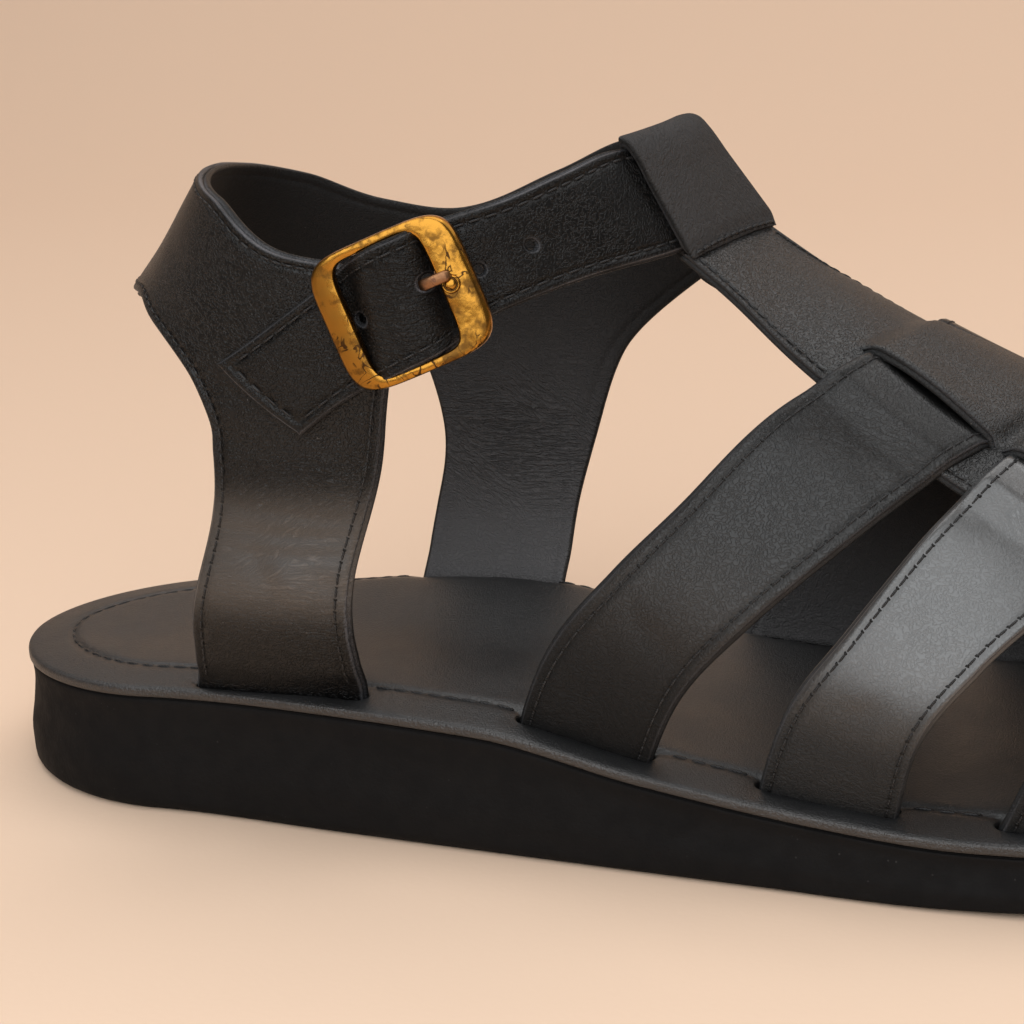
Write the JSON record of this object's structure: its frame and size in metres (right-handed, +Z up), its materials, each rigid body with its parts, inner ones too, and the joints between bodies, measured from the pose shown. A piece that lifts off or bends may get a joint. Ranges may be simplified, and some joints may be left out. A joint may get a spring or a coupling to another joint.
{
  "type": "fisherman sandal",
  "caption": "Woven leather fisherman sandal with a central spine, closed ankle band with a buckled strap, open heel and toe, leather footbed and a low wedge sole; right shoe.",
  "frame": {"origin": "on the ground under the middle of the heel's flat tread", "axes": "+X to the toe, +Y to the big toe's side (medial), +Z up"},
  "size_m": [0.262, 0.0896, 0.1186],
  "materials": {
    "sole_foam": "matte, finely speckled black foam rubber",
    "footbed_leather": "satin black leather with a burnished edge",
    "black_leather": "semi-gloss black leather with a fine grain",
    "antique_brass": "antique gold with dark patina",
    "copper_prong": "satin copper tone"
  },
  "bodies": {
    "root": {"outsole": "sole_foam", "footbed": "footbed_leather", "quarter": "black_leather", "ankle_strap": "black_leather", "upper": "black_leather", "buckle_tab": "black_leather", "buckle_frame": "antique_brass", "prong": "copper_prong"}
  },
  "joints": []
}
